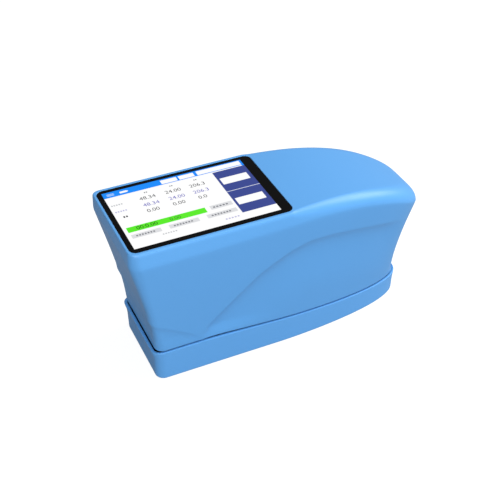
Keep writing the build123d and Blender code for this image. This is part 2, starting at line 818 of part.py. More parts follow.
flange_rim = 1.2
with BuildSketch() as measure_outline:
    with Locations((measure_key_x, 0)):
        SlotOverall(*measure_key_size)
with BuildSketch() as measure_flange:
    with Locations((measure_key_x, 0)):
        SlotOverall(*[size + 2 * flange_rim for size in measure_key_size])
measure_button = key_cap(measure_key_x, measure_outline.sketch, measure_flange.sketch)
write_part(measure_button, "measure_button")

with BuildSketch() as power_outline:
    with Locations((power_key_x, 0)):
        Circle(power_key_radius)
with BuildSketch() as power_flange:
    with Locations((power_key_x, 0)):
        Circle(power_key_radius + flange_rim)
power_button = key_cap(power_key_x, power_outline.sketch, power_flange.sketch)
write_part(power_button, "power_button")

# Calibration base: a tray with a drafted wall, a rounded rim, and pockets for the tile and feet
base_foot_points = ((-58, -15), (-58, 15), (54, -9), (54, 9))
base_foot_radius = 5.0
foot_pocket = 0.8
tile_radius = 15.0
ring_radius = 18.0
ring_screw_circle = 16.5
ring_seat = base_floor - 1.0
with BuildPart() as calibration_base:
    add(base_form(0, base_bottom, 20))
    add(below_seam(0), mode=Mode.INTERSECT)
    fillet(calibration_base.faces().sort_by(Axis.Z)[0].edges(), 0.5)
    high = calibration_base.edges().filter_by_position(Axis.Z, 11, 20)
    fillet(high.filter_by(lambda edge: edge.bounding_box().size.Z < 7), 0.7)
    add(base_form(base_wall, base_floor, 22), mode=Mode.SUBTRACT)
    # Underside relief that leaves a rim, the foot bosses and the tile boss
    with BuildSketch(Plane.XY.offset(base_bottom)):
        add(prow_face(base_left + 3, base_tip - 3, base_half - 3, base_corner - 2, 3.2))
        with Locations(*base_foot_points):
            Circle(base_foot_radius + 2, mode=Mode.SUBTRACT)
        with Locations((sphere_x, 0)):
            Circle(ring_radius + 2, mode=Mode.SUBTRACT)
    extrude(amount=1.5, mode=Mode.SUBTRACT)
    with BuildSketch(Plane.XY.offset(base_bottom)):
        with Locations(*base_foot_points):
            Circle(base_foot_radius + 0.05)
    extrude(amount=foot_pocket, mode=Mode.SUBTRACT)
    with BuildSketch(Plane.XY.offset(base_floor)):
        with Locations((sphere_x, 0)):
            Circle(ring_radius + 0.1)
    extrude(amount=-1.0, mode=Mode.SUBTRACT)
    with BuildSketch(Plane.XY.offset(base_floor)):
        with Locations((sphere_x, 0)):
            Circle(tile_radius + 0.1)
    extrude(amount=-2.8, mode=Mode.SUBTRACT)
    with BuildSketch(Plane.XY.offset(ring_seat)):
        with Locations((sphere_x, 0)):
            with PolarLocations(ring_screw_circle, 3, 30):
                Circle(0.55)
    extrude(amount=-1.8, mode=Mode.SUBTRACT)
write_part(calibration_base.part, "calibration_base")

# Four rubber feet in pockets of the base's underside
with BuildPart() as base_feet:
    with Locations(*[(x, y, table) for x, y in base_foot_points]):
        Cylinder(base_foot_radius, base_bottom + foot_pocket, align=STANDING)
    chamfer(base_feet.edges().group_by(Axis.Z)[0], 0.2)
write_part(base_feet.part, "base_feet")

# White reference tile: a stepped ceramic disc on a foam pad, held by a screwed ring
with BuildPart() as tile_pad:
    with BuildSketch(Plane.XY.offset(base_floor - 2.8)):
        with Locations((sphere_x, 0)):
            Circle(14)
    extrude(amount=0.6)
write_part(tile_pad.part, "tile_pad")

tile_edge = 13.0
with BuildPart() as white_tile:
    with BuildSketch(Plane.XY.offset(base_floor - 2.2)):
        with Locations((sphere_x, 0)):
            Circle(tile_radius)
    extrude(amount=1.2)
    with BuildSketch(Plane.XY.offset(ring_seat)):
        with Locations((sphere_x, 0)):
            Circle(tile_edge)
    extrude(amount=0.95)
write_part(white_tile.part, "white_tile")

with BuildPart() as tile_ring:
    with BuildSketch(Plane.XY.offset(ring_seat)):
        with Locations((sphere_x, 0)):
            Circle(ring_radius)
            Circle(tile_edge + 0.15, mode=Mode.SUBTRACT)
            with PolarLocations(ring_screw_circle, 3, 30):
                Circle(0.9, mode=Mode.SUBTRACT)
    extrude(amount=0.9)
write_part(tile_ring.part, "tile_ring")

with BuildPart() as tile_ring_screws:
    with Locations((sphere_x, 0, base_floor - 0.1)):
        with PolarLocations(ring_screw_circle, 3, 30):
            Cylinder(0.85, 0.8, align=HANGING)
            Cylinder(0.5, 2.5, align=HANGING)
write_part(tile_ring_screws.part, "tile_ring_screws")
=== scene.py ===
import math
from itertools import chain

import bpy
import numpy as np
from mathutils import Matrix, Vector, geometry


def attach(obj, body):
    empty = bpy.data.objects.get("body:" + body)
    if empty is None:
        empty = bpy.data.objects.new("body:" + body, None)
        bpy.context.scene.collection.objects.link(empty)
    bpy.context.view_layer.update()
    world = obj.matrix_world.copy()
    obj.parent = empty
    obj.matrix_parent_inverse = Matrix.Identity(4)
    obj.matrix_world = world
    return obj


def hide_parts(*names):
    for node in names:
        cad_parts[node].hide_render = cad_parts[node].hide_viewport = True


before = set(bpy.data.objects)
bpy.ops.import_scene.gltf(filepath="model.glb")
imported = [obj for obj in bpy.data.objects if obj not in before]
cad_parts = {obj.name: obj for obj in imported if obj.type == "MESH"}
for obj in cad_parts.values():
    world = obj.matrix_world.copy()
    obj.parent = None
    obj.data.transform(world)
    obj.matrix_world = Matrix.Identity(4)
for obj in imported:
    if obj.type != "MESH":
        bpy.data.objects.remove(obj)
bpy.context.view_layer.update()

# Upper housing: one injection-moulded shell of sky-blue plastic, flat over the screen and falling to
# a blunt nose, with walls that lean inwards to the parting line. Four screws from below hold it to
# the bottom cover. Sizes are in millimetres, and become metres as a mesh is made.

MM = 0.001

# Widest line of the shell (its belt), the parting line under it, and the wall between them
LEFT_END, NOSE_TIP, BELT_HALF = -81.8, 81.8, 30.2
BELT_CORNER, PROW_START = 5.4, -3.0
TOP, BELT_DROP = 85.5, 8.0
SEAM_LEFT, SEAM_TIP, SEAM_HALF, SEAM_CORNER = -70.75, 74.3, 24.25, 4.6
SEAM_GAP, SHELL_WALL = 0.75, 2.2

# Cover glass and the ledge that it lies on
GLASS_LEFT, GLASS_RIGHT, GLASS_HALF, GLASS_CORNER = -79.9, 1.6, 26.5, 3.5
GLASS_THICK, LEDGE = 1.1, 84.1

PROW_CROWDING = 2.2  # how strongly the points of a prow crowd together towards its tip


def prow_side(left, tip, half, corner, power, blunt, steps):
    """One side of a plan outline, from the middle of the flat left end to the nose.

    The end and side are straight with a round corner. Along the prow an angle f runs from 0 to a
    quarter turn: x goes from the start to the tip as sin(f) to the power 2/power, and y falls from
    the half width as cos(f) to the power 2/blunt. The points crowd together towards the tip.
    """
    end, bend, side, prow = steps
    y = np.linspace(0, half - corner, end, endpoint=False)
    a = np.linspace(0, np.pi / 2, bend, endpoint=False)
    x = np.linspace(left + corner, PROW_START, side, endpoint=False)
    f = np.pi / 2 * (1 - (1 - np.linspace(0, 1, prow)) ** PROW_CROWDING)
    nose_x = PROW_START + (tip - PROW_START) * np.sin(f) ** (2 / power)
    nose_y = half * np.clip(np.cos(f), 0, 1) ** (2 / blunt)
    return np.concatenate([
        np.stack([np.full(end, left), y], 1),
        np.stack([left + corner * (1 - np.cos(a)), half - corner * (1 - np.sin(a))], 1),
        np.stack([x, np.full(side, half)], 1),
        np.stack([nose_x, nose_y], 1),
    ])


# Points along the end, corner, side and prow of each half outline
NEAR_STEPS, FAR_STEPS = (10, 14, 120, 150), (10, 12, 40, 60)


def prow_ring(left, tip, half, corner, power=1.7, blunt=3.17, near=NEAR_STEPS, far=FAR_STEPS):
    """Closed plan outline, counter-clockwise from the middle of the left end: near side, then far."""
    near_side = prow_side(left, tip, half, corner, power, blunt, near) * (1, -1)
    far_side = prow_side(left, tip, half, corner, power, blunt, far)
    return np.concatenate([near_side, far_side[-2:0:-1]])


def window_ring(left, right, half, corner, near=NEAR_STEPS, far=FAR_STEPS):
    """Rounded rectangle whose points pair off with those of prow_ring, for the glass opening.

    Each half is straight runs and quarter circles; the right corner takes a quarter of the prow's
    points, and the right end the rest.
    """
    sides = []
    for end, bend, side, prow in (near, far):
        y = np.linspace(0, half - corner, end, endpoint=False)
        a = np.linspace(0, np.pi / 2, bend, endpoint=False)
        x = np.linspace(left + corner, right - corner, side, endpoint=False)
        turn = prow // 4
        b = np.linspace(0, np.pi / 2, turn, endpoint=False)
        down = np.linspace(half - corner, 0, prow - turn)
        sides.append(np.concatenate([
            np.stack([np.full(end, left), y], 1),
            np.stack([left + corner * (1 - np.cos(a)), half - corner * (1 - np.sin(a))], 1),
            np.stack([x, np.full(side, half)], 1),
            np.stack([right - corner * (1 - np.sin(b)), half - corner * (1 - np.cos(b))], 1),
            np.stack([np.full(prow - turn, right), down], 1),
        ]))
    return np.concatenate([sides[0] * (1, -1), sides[1][-2:0:-1]])


def outward(ring):
    """Unit plan normals of a counter-clockwise ring, from the chord between each point's neighbours."""
    chord = np.roll(ring, -1, 0) - np.roll(ring, 1, 0)
    normal = np.stack([chord[:, 1], -chord[:, 0]], 1)
    return normal / np.linalg.norm(normal, axis=1)[:, None]


def smooth(t):
    """Eases from 0 to 1 as t goes from 0 to 1: three t squared less two t cubed."""
    t = np.clip(t, 0, 1)
    return t * t * (3 - 2 * t)


# The top falls by TOP_FALL over its first TOP_REACH past the glass
TOP_FALL, TOP_REACH, TOP_POWER = 3.4, 40.0, 2.46


def top_level(x):
    """Height of the top: level over the screen, then falling with a power of x to the nose."""
    return TOP - TOP_FALL * (np.maximum(x, 0) / TOP_REACH) ** TOP_POWER


def top_slope(x):
    """Slope of the top along x, the derivative of top_level."""
    return -TOP_FALL * TOP_POWER / TOP_REACH * (np.maximum(x, 0) / TOP_REACH) ** (TOP_POWER - 1)


# The parting line's level part, its slope, and where and over what length it bends
SEAM_HIGH, SEAM_SLOPE, SEAM_BEND, SEAM_EASE = 17.8, 0.0509, -42.0, 10.2


def seam_level(x):
    """Parting line: level, then a parabola over the bend, then a straight fall to the nose."""
    into = np.clip(x - SEAM_BEND + SEAM_EASE, 0, 2 * SEAM_EASE)
    past = np.maximum(x - SEAM_BEND - SEAM_EASE, 0)
    return SEAM_HIGH - SEAM_SLOPE * (into**2 / (4 * SEAM_EASE) + past)


# The swept crease of the near wall, from the parting line up and over to the nose, in X and Z
SWEEP_X = np.array([-45.8, -46.2, -43.5, -32.0, -16.6, -0.9, 9.8, 21.4, 33.4, 45.9, 59.4, 72.0])
SWEEP_Z = np.array([15.0, 22.0, 28.0, 39.0, 53.4, 62.5, 65.6, 65.2, 63.4, 60.8, 57.4, 53.8])
# The small crease that comes round the left corner and falls to meet it
TICK_X = np.array([-82.0, -71.4, -61.0, -48.0, -45.6, -44.0])
TICK_Z = np.array([41.8, 37.4, 31.5, 21.9, 19.2, 17.0])


def beside(x, z, line_x, line_z):
    """Distance from a line of points in X and Z, positive below and to the right of it.

    It is the smallest of the distances to the line's straight runs, with that run's side as sign.
    """
    best = np.full(x.shape, 1e9)
    for x0, z0, x1, z1 in zip(line_x[:-1], line_z[:-1], line_x[1:], line_z[1:]):
        dx, dz = x1 - x0, z1 - z0
        t = np.clip(((x - x0) * dx + (z - z0) * dz) / (dx * dx + dz * dz), 0, 1)
        away = np.hypot(x - x0 - t * dx, z - z0 - t * dz)
        side = np.sign((x - x0) * dz - (z - z0) * dx)
        best = np.where(away < np.abs(best), away * side, best)
    return best


ROUNDING = 0.42


def rounded(line_x, line_z, steps):
    """The same line with its corners eased, as a chain of short straight runs.

    Each new point is a mean of the old ones, weighted by a bell curve along the line.
    """
    t = np.linspace(0, len(line_x) - 1, steps)
    weight = np.exp(-0.5 * ((np.arange(len(line_x))[None] - t[:, None]) / ROUNDING) ** 2)
    weight /= weight.sum(1)[:, None]
    return weight @ line_x, weight @ line_z


def step_down(away, soft, ease, reach):
    """Depth share of a shallow step: nothing before its line, then a fall that slows and fades out.

    Past the line the share is one less a decay over ease, times a smooth return to 0 over reach.
    """
    past = 0.5 * (away + np.sqrt(away**2 + soft**2))
    return (1 - np.exp(-past / ease)) * (1 - smooth((away - ease) / reach))


BELT_POWER, BELT_BLUNT = 1.56, 4.26
belt = prow_ring(LEFT_END, NOSE_TIP, BELT_HALF, BELT_CORNER, BELT_POWER, BELT_BLUNT)
seam = prow_ring(SEAM_LEFT, SEAM_TIP, SEAM_HALF, SEAM_CORNER)
belt_out = outward(belt)
at_left, at_nose = np.clip(-belt_out[:, 0], 0, 1) ** 2, np.clip(belt_out[:, 0], 0, 1) ** 2
toward_nose = np.clip(belt[:, 0] / NOSE_TIP, 0, 1)
foot_z = seam_level(seam[:, 0]) + SEAM_GAP

# The belt comes up towards the middle and dips a little at the nose, each from its own start in X
BELT_RISE, RISE_START, RISE_LENGTH = 1.75, -60, 85
BELT_DIP, DIP_START, DIP_LENGTH = 0.5, 60, 20
belt_up = smooth((belt[:, 0] - RISE_START) / RISE_LENGTH)
belt_down = smooth((belt[:, 0] - DIP_START) / DIP_LENGTH)
belt_drop = BELT_DROP - BELT_RISE * belt_up + BELT_DIP * belt_down
belt_z = top_level(belt[:, 0]) - belt_drop

# The band above the belt: a facet that leans in by a share of its height, less so at the ends, then
# a round edge that takes up the rest of the band's width and grows to the nose. The edge rises in
# step with that width. Its middle point is set back from the corner, by less along the nose.
BAND_SIDE, BAND_SPREAD, BAND_NOSE, BAND_LEFT = 2.4, 4.45, 2.5, 1.7
SPREAD_POWER, NOSE_POWER = 0.449, 4
band_width = BAND_SIDE + BAND_SPREAD * toward_nose**SPREAD_POWER + BAND_NOSE * toward_nose**NOSE_POWER
band_width -= BAND_LEFT * at_left
LEAN, LEAN_LESS_LEFT, LEAN_LESS_NOSE = 0.2, 0.16, 0.1
facet_lean = LEAN - LEAN_LESS_LEFT * at_left - LEAN_LESS_NOSE * at_nose
edge_reach = band_width - facet_lean * belt_drop
RISE_LEAST, RISE_SHARE, RISE_LIMIT = 0.6, 1.6, 0.95
edge_rise = np.minimum(RISE_LEAST + RISE_SHARE * edge_reach, RISE_LIMIT * belt_drop)
SETBACK_LEAST, SETBACK_SHARE, SETBACK_LOSS = 0.1, 0.24, 0.9
SETBACK_START, SETBACK_LENGTH = 0.33, 0.45
edge_setback = SETBACK_LEAST + SETBACK_SHARE * edge_reach
edge_setback *= 1 - SETBACK_LOSS * smooth((toward_nose - SETBACK_START) / SETBACK_LENGTH)

# The sweep's depth and what it loses on the way, then where it ends in X and how far off the middle
# it starts, each with the length that it takes. A step is its softness, its ease and its reach.
SWEEP_DEPTH, SWEEP_LOSS, LOSS_START, LOSS_LENGTH = 1.9, 0.8, -40, 90
SWEEP_END, SWEEP_FADE, SIDE_START, SIDE_FADE = 54, 18, 8, 8
SWEEP_STEP, CREASE_STEP = (0.5, 2.8, 32), (0.3, 1.3, 16)
# The crease's depth and end, the height, place and width of its lip, and the share left at the foot
CREASE_DEPTH, CREASE_END, CREASE_FADE = 0.45, -52, 6
LIP_HEIGHT, LIP_ABOVE, LIP_WIDTH = 0.3, 1.4, 1.6
FOOT_SHARE, FOOT_REACH = 0.25, 9


def relief(x, y, z):
    """Depth of the walls' shallow relief.

    The sweep is a step down across the near wall that thins and then fades out towards the nose. The
    crease is a smaller step round the left end, under a slight lip. By the foot only a share is left.
    """
    above_foot = FOOT_SHARE + (1 - FOOT_SHARE) * smooth((z - foot_z) / FOOT_REACH)
    away = beside(x, z, *rounded(SWEEP_X, SWEEP_Z, 60))
    sweep = (SWEEP_DEPTH - SWEEP_LOSS * smooth((x - LOSS_START) / LOSS_LENGTH)) * step_down(away, *SWEEP_STEP)
    sweep *= (1 - smooth((x - SWEEP_END) / SWEEP_FADE)) * smooth((-y - SIDE_START) / SIDE_FADE)
    crease_away = beside(x, z, *rounded(TICK_X, TICK_Z, 24))
    crease = CREASE_DEPTH * step_down(crease_away, *CREASE_STEP)
    crease *= 1 - smooth((x - CREASE_END) / CREASE_FADE)
    lip = LIP_HEIGHT * np.exp(-(((crease_away + LIP_ABOVE) / LIP_WIDTH) ** 2)) * at_left
    return above_foot * (sweep + crease - lip)


BREAK_ROUND, BREAK_INSET = 1.0, 0.15


def eased(height):
    """Inset that rounds the break between wall and facet: a hyperbola less its two straight arms."""
    return BREAK_INSET * (np.sqrt(height**2 + BREAK_ROUND**2) - np.abs(height))


# How deep the walls are hollowed at the ends, how far the deepest place is moved, and the foot's round
LEFT_HOLLOW, NOSE_HOLLOW, HOLLOW_SKEW = 1.2, 5.2, -0.77
FOOT_ROUND_SIDE, FOOT_ROUND_NOSE = 0.8, 0.6
foot_round = FOOT_ROUND_SIDE + FOOT_ROUND_NOSE * at_nose


def wall_ring(share):
    """Ring on the wall, at a share of the way from belt to foot.

    The plan is a straight blend of the two outlines, hollowed at both ends by a skewed parabola of
    the share, then set in by the relief, by the eased break at the top and by the foot's round.
    """
    plan = belt * (1 - share) + seam * share
    hollow = 4 * share * (1 - share) * (1 + HOLLOW_SKEW * (0.5 - share))
    plan[:, 0] += hollow * (LEFT_HOLLOW * at_left - NOSE_HOLLOW * at_nose)
    z = belt_z * (1 - share) + foot_z * share
    short = np.clip(1 - (z - foot_z) / foot_round, 0, 1)
    inset = relief(plan[:, 0], plan[:, 1], z) + eased(z - belt_z)
    inset += foot_round * (1 - np.sqrt(1 - short**2))
    return np.column_stack([plan - inset[:, None] * belt_out, z])


# Out over the ledge under the glass, up its recess, over the flat top and down the band. The top's
# rings stop a little short of its edge. The opening is its left, right, half width and corner.
OPENING = (-78.8, -1.0, 25.1, 0.8)
GLASS_GAP, EDGE_ROUND, TOP_SHORT = 0.15, 0.15, 0.3
opening = window_ring(*OPENING)
recess = window_ring(GLASS_LEFT - GLASS_GAP, GLASS_RIGHT + GLASS_GAP, GLASS_HALF + GLASS_GAP,
                     GLASS_CORNER + GLASS_GAP)
rim = recess + EDGE_ROUND * outward(recess)
top_edge = belt - band_width[:, None] * belt_out
crest = top_level(top_edge[:, 0]) - belt_z
start = belt_drop - edge_rise  # where the round edge leaves the facet
turn = crest + belt_out[:, 0] * top_slope(top_edge[:, 0]) * band_width - edge_setback  # its middle
rings = [np.column_stack([ring, np.full(len(ring), LEDGE)]) for ring in (opening, recess)]
rings.append(np.column_stack([recess, np.full(len(recess), TOP - EDGE_ROUND)]))
for share in np.linspace(0, 1, 26)[:-1] ** 1.15:
    plan = rim + (top_edge - TOP_SHORT * belt_out - rim) * share
    rings.append(np.column_stack([plan, top_level(plan[:, 0])]))
for t in np.linspace(1, 0, 14):  # a quadratic Bezier curve from the top's edge down to the facet
    side, middle, edge = (1 - t) ** 2, 2 * t * (1 - t), t**2
    inset = facet_lean * (side * start + middle * turn) + edge * band_width
    height = side * start + middle * turn + edge * crest
    rings.append(np.column_stack([belt - (inset + eased(height))[:, None] * belt_out, belt_z + height]))
for share in np.linspace(1, 0, 9)[1:-1]:
    height = share * start
    inset = facet_lean * height + eased(height)
    rings.append(np.column_stack([belt - inset[:, None] * belt_out, belt_z + height]))

FOOT_SPLIT = 0.975
wall_shares = np.concatenate([np.linspace(0, FOOT_SPLIT, 104), np.linspace(FOOT_SPLIT, 1, 10)[1:]])
rings += [wall_ring(share) for share in wall_shares]
foot = rings[-1]


def inside(ring, depth):
    """A ring moved into the shell in plan, along the belt's own normals."""
    return ring - np.column_stack([depth * belt_out, np.zeros(len(ring))])


# Back up the inside of the wall and under the top to the opening again. The wall is thinner at its
# foot and thicker behind the band, where its inner corner lies a little way under the top.
FOOT_THINNER, BAND_THICKER, CORNER_DROP, UNDER_INSET = 0.5, 0.4, 5, 1.6
rings.append(inside(foot, SHELL_WALL - FOOT_THINNER))
rings += [inside(wall_ring(share), SHELL_WALL) for share in np.linspace(0.94, 0.04, 9)]
behind_band = belt - (SHELL_WALL + BAND_THICKER) * belt_out
rings.append(np.column_stack([behind_band, top_level(belt[:, 0]) - CORNER_DROP]))
under_top = top_edge - UNDER_INSET * belt_out
rings.append(np.column_stack([under_top, top_level(under_top[:, 0]) - SHELL_WALL]))
for share in (0.35, 0.7):
    plan = under_top + (opening - under_top) * share
    rings.append(np.column_stack([plan, top_level(plan[:, 0]) - SHELL_WALL]))
rings.append(np.column_stack([opening, np.full(len(opening), TOP - SHELL_WALL)]))


def ring_piece(name, rings, closed=True, sharp=32):
    """A mesh from a stack of rings: each point joins its neighbours round the ring and across it.

    A closed stack joins its last ring to its first. Otherwise both ends are filled with a fan.
    """
    grid = np.array(rings) * MM
    count, around = grid.shape[:2]
    number = np.arange(count * around).reshape(count, around)
    upper = number if closed else number[:-1]
    lower = np.roll(number, -1, 0) if closed else number[1:]
    quads = np.stack([upper, lower, np.roll(lower, -1, 1), np.roll(upper, -1, 1)], -1).reshape(-1, 4)
    points, faces = grid.reshape(-1, 3), quads.tolist()
    if not closed:
        middles = np.array([grid[0].mean(0), grid[-1].mean(0)])
        first, last = len(points), len(points) + 1
        points = np.concatenate([points, middles])
        after = np.roll(number, -1, 1)
        faces += np.stack([np.full(around, first), number[0], after[0]], 1).tolist()
        faces += np.stack([np.full(around, last), after[-1], number[-1]], 1).tolist()
    mesh = bpy.data.meshes.new(name)
    mesh.from_pydata(points.tolist(), [], faces)
    return smooth_piece(name, mesh, sharp)


def smooth_piece(name, mesh, sharp=32):
    """Shades a mesh smoothly except across edges sharper than an angle, and puts it in the scene."""
    mesh.polygons.foreach_set("use_smooth", np.ones(len(mesh.polygons), bool))
    mesh.set_sharp_from_angle(angle=math.radians(sharp))
    piece = bpy.data.objects.new(name, mesh)
    bpy.context.scene.collection.objects.link(piece)
    return piece


def cut(piece, *tools, sharp=32):
    """Takes the tools' solids out of a piece and keeps only its finished mesh."""
    for tool in tools:
        step = piece.modifiers.new("cut", "BOOLEAN")
        step.operation, step.solver, step.object = "DIFFERENCE", "EXACT", tool
    bpy.context.view_layer.update()
    mesh = bpy.data.meshes.new_from_object(piece.evaluated_get(bpy.context.evaluated_depsgraph_get()))
    piece.modifiers.clear()
    piece.data = mesh
    mesh.polygons.foreach_set("use_smooth", np.ones(len(mesh.polygons), bool))
    mesh.set_sharp_from_angle(angle=math.radians(sharp))
    for tool in tools:
        bpy.data.objects.remove(tool)


# The far wall's own plane: along the wall, down it, and out through it
KEY_HEIGHT, WALL_FOOT = 52.0, 23.9
WALL_LEAN = (BELT_HALF - WALL_FOOT) / (TOP - BELT_DROP - SEAM_HIGH)
wall_out = np.array([0, 1, -WALL_LEAN]) / math.hypot(1, WALL_LEAN)
wall_down = np.cross(wall_out, (1, 0, 0))
wall_spot = np.array([0, WALL_FOOT + WALL_LEAN * (KEY_HEIGHT - SEAM_HIGH), KEY_HEIGHT])


def on_far_wall(x, along, down, out):
    """Points given along, down and out of the far wall, about a spot at x, in the object's frame.

    Each is the spot plus its three offsets along the wall's own three directions.
    """
    along, down, out = np.broadcast_arrays(along, down, out)
    return (wall_spot + (x + along)[..., None] * (1, 0, 0) + down[..., None] * wall_down
            + out[..., None] * wall_out)


def stadium(half_length, radius, steps=20):
    """Two half circles joined by straight sides, or one circle, as along and down.

    The right half is a half circle moved along; the left half is the same points turned about 0.
    """
    a = np.linspace(-np.pi / 2, np.pi / 2, steps, endpoint=half_length > radius)
    right = np.stack([half_length - radius + radius * np.cos(a), radius * np.sin(a)], 1)
    return np.concatenate([right, -right])


def wall_prism(name, x, half_length, radius, levels, grow=(0, 0)):
    """A stadium-shaped solid through the far wall, wider by grow at its two levels."""
    rings = []
    for out, more in zip(levels[::-1], grow[::-1]):
        shape = stadium(half_length + more, radius + more)
        rings.append(on_far_wall(x, shape[:, 0], shape[:, 1], out))
    return ring_piece(name, rings, closed=False)


# Where the keys and the port stand along the wall, the half length and radius of each and of the dish
# round the port, and how far in and out of the wall's surface the holes and the dish are cut
MEASURE_X, POWER_X, PORT_X = -12.0, -36.0, -56.0
MEASURE_SIZE, POWER_SIZE, PORT_SIZE, PORT_DISH = (11.0, 4.5), (4.0, 4.0), (4.8, 1.95), (6.2, 3.35)
KEY_GAP, THROUGH, DISH_LEVELS = 0.2, (-4, 2), (-0.8, 0.6)
housing = ring_piece("blue_housing", rings)
cut(
    housing,
    wall_prism("measure_cutter", MEASURE_X, *MEASURE_SIZE, THROUGH, (KEY_GAP, KEY_GAP)),
    wall_prism("power_cutter", POWER_X, *POWER_SIZE, THROUGH, (KEY_GAP, KEY_GAP)),
    wall_prism("port_cutter", PORT_X, *PORT_SIZE, THROUGH),
    wall_prism("port_dish_cutter", PORT_X, *PORT_DISH, DISH_LEVELS),
)


def new_material(name, color, roughness, metallic=0.0, specular=0.5):
    """A Principled material with its plain values set on the shader's own sockets."""
    material = bpy.data.materials.new(name)
    material.use_nodes = True
    shader = material.node_tree.nodes["Principled BSDF"]
    shader.inputs["Base Color"].default_value = (*color, 1)
    shader.inputs["Roughness"].default_value = roughness
    shader.inputs["Metallic"].default_value = metallic
    shader.inputs["Specular IOR Level"].default_value = specular
    return material, shader


def srgb(red, green, blue):
    """Linear colour from screen values of 0 to 255."""
    values = np.array([red, green, blue]) / 255
    linear = np.where(values < 0.04045, values / 12.92, ((values + 0.055) / 1.055) ** 2.4)
    return tuple(linear.tolist())


def group_tree(name, inputs, outputs):
    """An empty node group with named sockets, and its input and output nodes."""
    tree = bpy.data.node_groups.new(name, "ShaderNodeTree")
    for label, kind, value in inputs:
        tree.interface.new_socket(label, in_out="INPUT", socket_type=kind).default_value = value
    for label, kind in outputs:
        tree.interface.new_socket(label, in_out="OUTPUT", socket_type=kind)
    return tree, tree.nodes.new("NodeGroupInput"), tree.nodes.new("NodeGroupOutput")


def noise_node(tree, vector, scale, detail=2.0, rough=0.5):
    """A noise texture on the given coordinates."""
    node = tree.nodes.new("ShaderNodeTexNoise")
    node.inputs["Detail"].default_value = detail
    node.inputs["Roughness"].default_value = rough
    tree.links.new(vector, node.inputs["Vector"])
    if isinstance(scale, (int, float)):
        node.inputs["Scale"].default_value = scale
    else:
        tree.links.new(scale, node.inputs["Scale"])
    return node.outputs["Fac"]


def spread(tree, value, low, high):
    """Maps 0 to 1 onto a range whose ends are numbers or sockets."""
    node = tree.nodes.new("ShaderNodeMapRange")
    tree.links.new(value, node.inputs["Value"])
    for label, end in (("To Min", low), ("To Max", high)):
        if isinstance(end, (int, float)):
            node.inputs[label].default_value = end
        else:
            tree.links.new(end, node.inputs[label])
    return node.outputs["Result"]


def math_node(tree, operation, a, b):
    """One arithmetic step on numbers or sockets."""
    node = tree.nodes.new("ShaderNodeMath")
    node.operation = operation
    for socket, value in zip(node.inputs, (a, b)):
        if isinstance(value, (int, float)):
            socket.default_value = value
        else:
            tree.links.new(value, socket)
    return node.outputs[0]


# Moulded skin, shared by all the plastics: the fine spark-eroded grain of a mould, slow drifts of
# tone, and paler worn edges where the surface is pointed enough. Clouds and scuffs are per metre.
CLOUDS, SCUFFS, UNEVEN = 28.0, 260.0, 0.12
WEAR_FROM, WEAR_TO, WORN_TINT = 0.535, 0.62, (0.85, 0.88, 0.92, 1)
skin, skin_in, skin_out = group_tree(
    "moulded_skin",
    [("Color", "NodeSocketColor", (1, 1, 1, 1)), ("Grain per metre", "NodeSocketFloat", 3500.0),
     ("Grain depth", "NodeSocketFloat", 0.00001), ("Roughness", "NodeSocketFloat", 0.4),
     ("Drift", "NodeSocketFloat", 0.03), ("Wear", "NodeSocketFloat", 0.15)],
    [("Color", "NodeSocketColor"), ("Roughness", "NodeSocketFloat"), ("Normal", "NodeSocketVector")],
)
place = skin.nodes.new("ShaderNodeTexCoord").outputs["Object"]
grain = noise_node(skin, place, skin_in.outputs["Grain per metre"], 3.0, 0.6)
cloud = noise_node(skin, place, CLOUDS, 3.0)
scuff = noise_node(skin, place, SCUFFS, 4.0, 0.7)
pointed = skin.nodes.new("ShaderNodeNewGeometry").outputs["Pointiness"]
edge = skin.nodes.new("ShaderNodeMapRange")
edge.inputs["From Min"].default_value, edge.inputs["From Max"].default_value = WEAR_FROM, WEAR_TO
skin.links.new(pointed, edge.inputs["Value"])
wear = math_node(skin, "MULTIPLY", scuff, skin_in.outputs["Wear"])
worn = math_node(skin, "MULTIPLY", edge.outputs["Result"], wear)
tone = math_node(skin, "MULTIPLY", math_node(skin, "SUBTRACT", cloud, 0.5), skin_in.outputs["Drift"])
shade = skin.nodes.new("ShaderNodeHueSaturation")
skin.links.new(math_node(skin, "ADD", tone, 1.0), shade.inputs["Value"])
skin.links.new(skin_in.outputs["Color"], shade.inputs["Color"])
pale = skin.nodes.new("ShaderNodeMix")
pale.data_type = "RGBA"
plain, rubbed = [socket for socket in pale.inputs if socket.type == "RGBA"]
rubbed.default_value = WORN_TINT
skin.links.new(worn, pale.inputs[0])
skin.links.new(shade.outputs["Color"], plain)
skin.links.new([socket for socket in pale.outputs if socket.type == "RGBA"][0], skin_out.inputs["Color"])
uneven = math_node(skin, "MULTIPLY", math_node(skin, "SUBTRACT", scuff, 0.5), UNEVEN)
skin.links.new(math_node(skin, "ADD", skin_in.outputs["Roughness"], uneven), skin_out.inputs["Roughness"])
bump = skin.nodes.new("ShaderNodeBump")
bump.inputs["Strength"].default_value = 1.0
skin.links.new(skin_in.outputs["Grain depth"], bump.inputs["Distance"])
skin.links.new(grain, bump.inputs["Height"])
skin.links.new(bump.outputs["Normal"], skin_out.inputs["Normal"])


def skinned(name, color, roughness, grain=3500.0, depth=0.00001, drift=0.03, wear=0.15, **more):
    """A material whose colour, roughness and normal come from the moulded skin group."""
    material, shader = new_material(name, color, roughness, **more)
    tree = material.node_tree
    node = tree.nodes.new("ShaderNodeGroup")
    node.node_tree = skin
    settings = {"Color": (*color, 1), "Grain per metre": grain, "Grain depth": depth,
                "Roughness": roughness, "Drift": drift, "Wear": wear}
    for label, value in settings.items():
        node.inputs[label].default_value = value
    for output, socket in (("Color", "Base Color"), ("Roughness", "Roughness"), ("Normal", "Normal")):
        tree.links.new(node.outputs[output], shader.inputs[socket])
    return material


